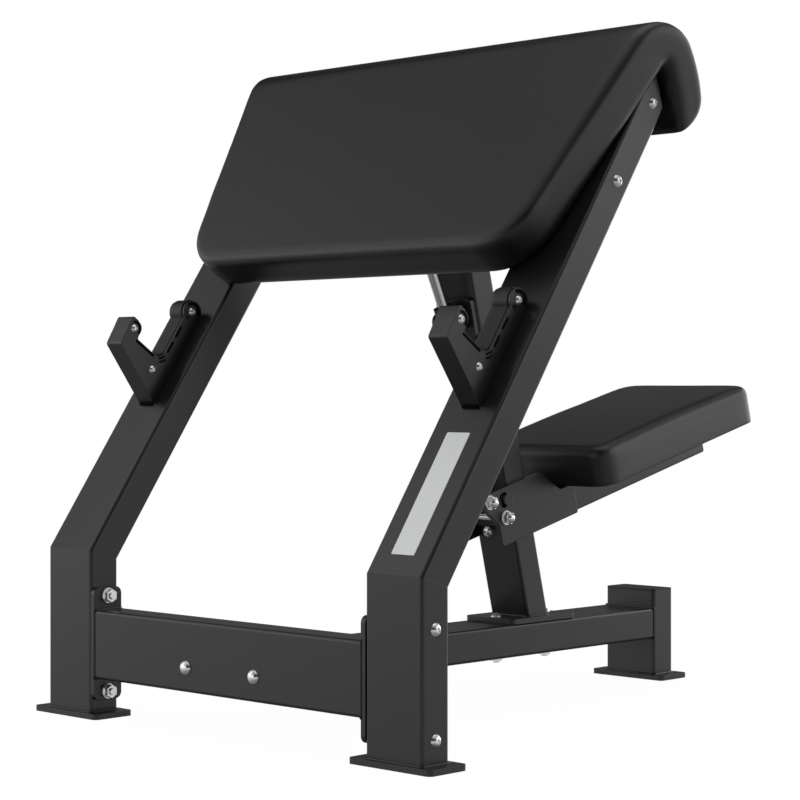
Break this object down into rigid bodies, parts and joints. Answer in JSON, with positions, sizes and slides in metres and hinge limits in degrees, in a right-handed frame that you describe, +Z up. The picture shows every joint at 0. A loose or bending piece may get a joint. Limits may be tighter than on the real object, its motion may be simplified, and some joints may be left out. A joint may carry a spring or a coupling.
{
  "type": "preacher curl bench",
  "caption": "Free-standing preacher curl bench: steel frame with a sloping arm pad, two bar hooks and a padded seat that slides on a leaning post and locks with a sprung pull pin.",
  "frame": {"origin": "On the floor, under the middle of the bench's length and width.", "axes": "+Z up; +Y from the bar hooks at the front towards the seat at the rear; +X to the right of someone looking at the front of the pad, along +Y."},
  "size_m": [0.8238, 1.0768, 0.9881],
  "materials": {
    "frame_powder_coat": "satin black powder coat",
    "black_plastic": "moulded black, fine grain",
    "bright_fasteners": "bright zinc plating",
    "chrome_rod": "polished",
    "pad_vinyl": "black leatherette over foam",
    "plywood": "raw plywood",
    "bare_plate": "fine brushed, blank",
    "spring_steel": "drawn wire"
  },
  "bodies": {
    "frame": {"left_leg": "frame_powder_coat", "right_leg": "frame_powder_coat", "left_mast": "frame_powder_coat", "right_mast": "frame_powder_coat", "mast_end_plates": "frame_powder_coat", "left_foot_plate": "frame_powder_coat", "right_foot_plate": "frame_powder_coat", "rear_foot": "frame_powder_coat", "rear_foot_plate": "frame_powder_coat", "lower_crossbeam": "frame_powder_coat", "lower_crossbeam_flanges": "frame_powder_coat", "upper_crossbeam": "frame_powder_coat", "upper_crossbeam_flanges": "frame_powder_coat", "base_beam": "frame_powder_coat", "base_beam_flange": "frame_powder_coat", "seat_post": "frame_powder_coat", "seat_post_foot_plate": "frame_powder_coat", "seat_post_head_plate": "frame_powder_coat", "left_hook_shell": "frame_powder_coat", "right_hook_shell": "frame_powder_coat", "arm_pad_brackets": "frame_powder_coat", "strut_post_bracket": "frame_powder_coat", "strut_pad_bracket": "frame_powder_coat", "rear_foot_cap": "black_plastic", "left_hook_liner": "black_plastic", "right_hook_liner": "black_plastic", "strut_eyes": "black_plastic", "crossbeam_bolts": "bright_fasteners", "crossbeam_nuts": "bright_fasteners", "crossbeam_washers": "bright_fasteners", "base_beam_bolts": "bright_fasteners", "base_beam_nuts": "bright_fasteners", "post_foot_bolts": "bright_fasteners", "post_foot_nuts": "bright_fasteners", "post_head_bolts": "bright_fasteners", "post_head_weld_nuts": "bright_fasteners", "carriage_stop": "bright_fasteners", "left_hook_bolts": "bright_fasteners", "right_hook_bolts": "bright_fasteners", "arm_pad_screws": "bright_fasteners", "strut_pins": "bright_fasteners", "strut_rod": "chrome_rod", "arm_pad_cushion": "pad_vinyl", "arm_pad_board": "plywood", "name_plate": "bare_plate"},
    "seat_carriage": {"carriage_left_plate": "frame_powder_coat", "carriage_right_plate": "frame_powder_coat", "carriage_bolts": "bright_fasteners", "carriage_dome_nuts": "bright_fasteners", "carriage_glides": "black_plastic", "seat_arm": "frame_powder_coat", "seat_arm_cap": "black_plastic", "seat_board": "plywood", "seat_bolts": "bright_fasteners", "seat_cushion": "pad_vinyl", "lock_pin_barrel": "bright_fasteners", "lock_pin_spring": "spring_steel"},
    "lock_pin": {"lock_pin_shaft": "bright_fasteners", "lock_pin_knob": "black_plastic"}
  },
  "joints": [
    {"name": "seat_slide", "type": "slide", "parent": "frame", "child": "seat_carriage", "axis": [0, -0.2453, 0.9694], "range_m": [0, 0.18]},
    {"name": "lock_pin_pull", "type": "slide", "parent": "seat_carriage", "child": "lock_pin", "axis": [-1, 0, 0], "range_m": [0, 0.012], "stiffness_N_per_m": 500, "springref_m": -0.01, "deforming": ["lock_pin_spring"]}
  ]
}
